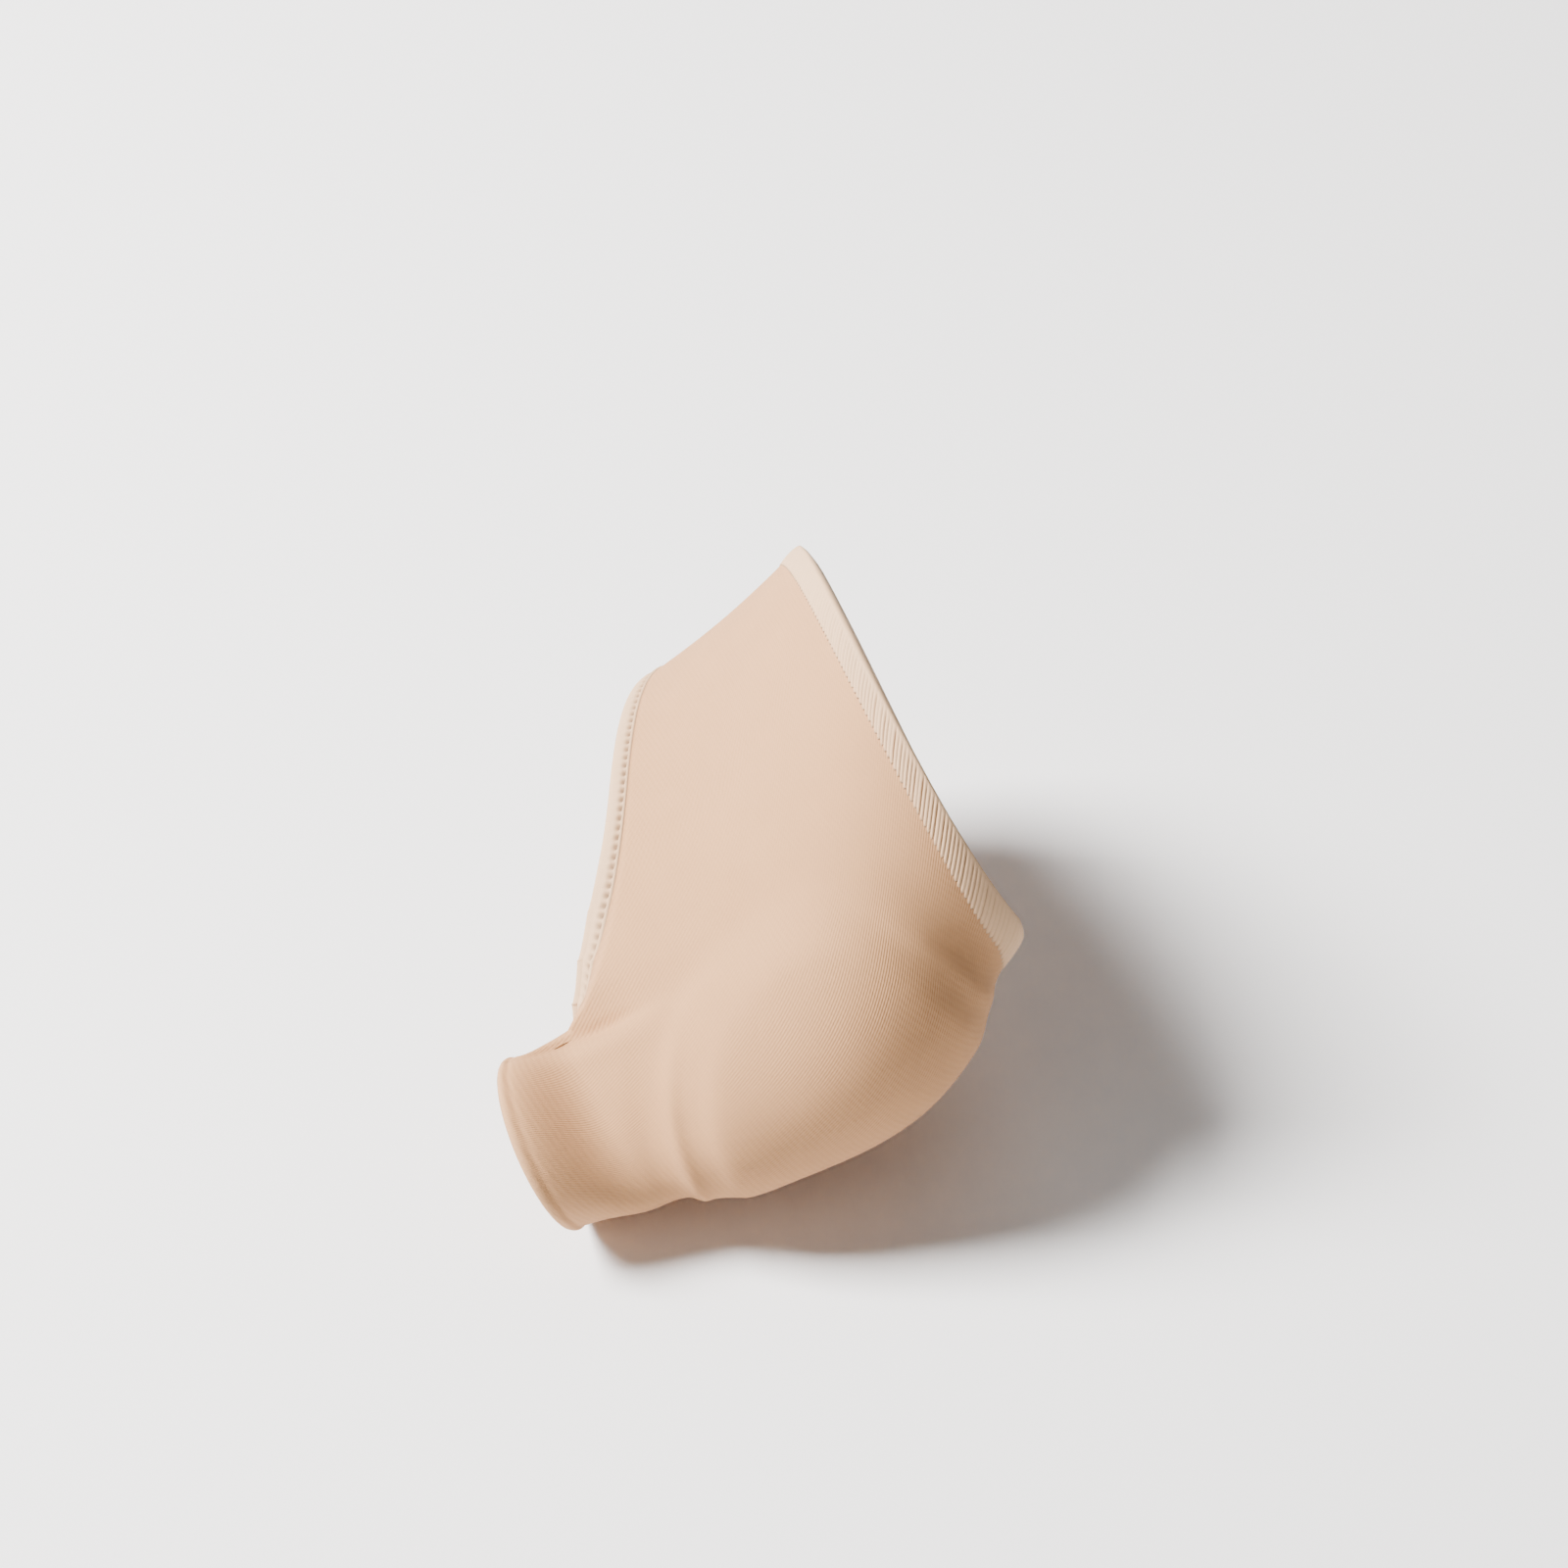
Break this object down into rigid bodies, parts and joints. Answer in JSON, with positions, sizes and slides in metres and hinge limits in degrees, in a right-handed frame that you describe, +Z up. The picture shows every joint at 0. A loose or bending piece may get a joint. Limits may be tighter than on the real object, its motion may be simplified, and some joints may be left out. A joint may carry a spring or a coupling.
{
  "type": "bunion protector sleeve for the right foot",
  "caption": "Stretch-knit forefoot sleeve with a big-toe loop, stitched hems and a gel cushion inside over the bunion, shaped as worn on a right foot.",
  "frame": {"origin": "middle of the hollow at the ball of the foot, where the foot fills the sleeve", "axes": "+X from the toes towards the heel, level; +Y towards the outer side of the foot; +Z up, with the heel raised as worn"},
  "size_m": [0.0755, 0.0944, 0.0693],
  "materials": {
    "knit": "matt fine knit",
    "hem": "matt stitched knit",
    "gel": "satin gel"
  },
  "bodies": {
    "root": {"sleeve_shell": "knit", "rear_hem": "hem", "toe_hem": "hem", "gel_pad": "gel"}
  },
  "joints": []
}
